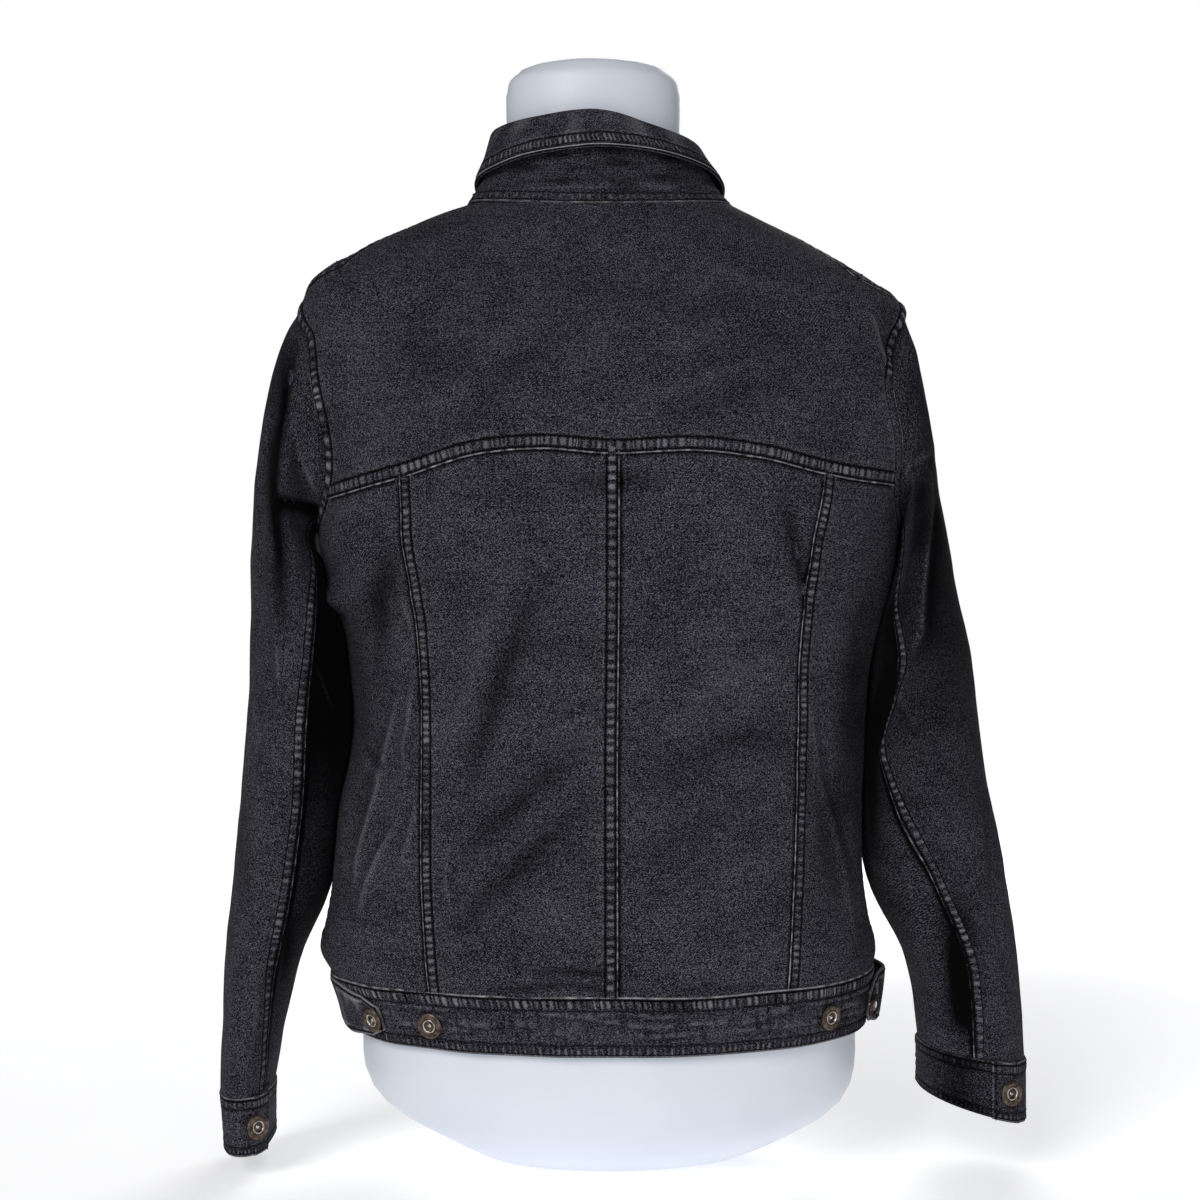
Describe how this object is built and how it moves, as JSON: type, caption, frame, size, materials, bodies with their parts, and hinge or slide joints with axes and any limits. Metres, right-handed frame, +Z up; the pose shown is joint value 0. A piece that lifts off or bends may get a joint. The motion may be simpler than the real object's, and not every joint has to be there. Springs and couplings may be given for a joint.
{
  "type": "denim jacket on a limbless dress form",
  "caption": "Waist-length denim jacket with turned-down collar, back yoke, princess seams, hem band with side tabs and buttoned cuffs, worn on a limbless white dress form.",
  "frame": {"origin": "on the form's flat base, under the middle of the torso", "axes": "+Z up, -Y the way the wearer faces, +X the wearer's left"},
  "size_m": [0.5632, 0.2605, 0.7736],
  "materials": {
    "denim": "washed black twill, matte",
    "button_metal": "antiqued, dull sheen",
    "form_shell": "smooth satin"
  },
  "bodies": {
    "root": {"back_centre_left": "denim", "back_centre_right": "denim", "back_side_left": "denim", "back_side_right": "denim", "back_yoke": "denim", "cuff_button_left": "button_metal", "cuff_button_right": "button_metal", "cuff_left": "denim", "cuff_right": "denim", "form": "form_shell", "front_button_1": "button_metal", "front_button_2": "button_metal", "front_button_3": "button_metal", "front_button_4": "button_metal", "front_button_5": "button_metal", "front_button_6": "button_metal", "front_left": "denim", "front_right": "denim", "placket_left": "denim", "placket_right": "denim", "sleeve_top_left": "denim", "sleeve_top_right": "denim", "sleeve_under_left": "denim", "sleeve_under_right": "denim", "tab_left": "denim", "tab_right": "denim", "top_collar": "denim", "undercollar": "denim", "waist_button_left_free": "button_metal", "waist_button_left_tab": "button_metal", "waist_button_right_free": "button_metal", "waist_button_right_tab": "button_metal", "waistband_back": "denim", "waistband_front_left": "denim", "waistband_front_right": "denim"}
  },
  "joints": []
}
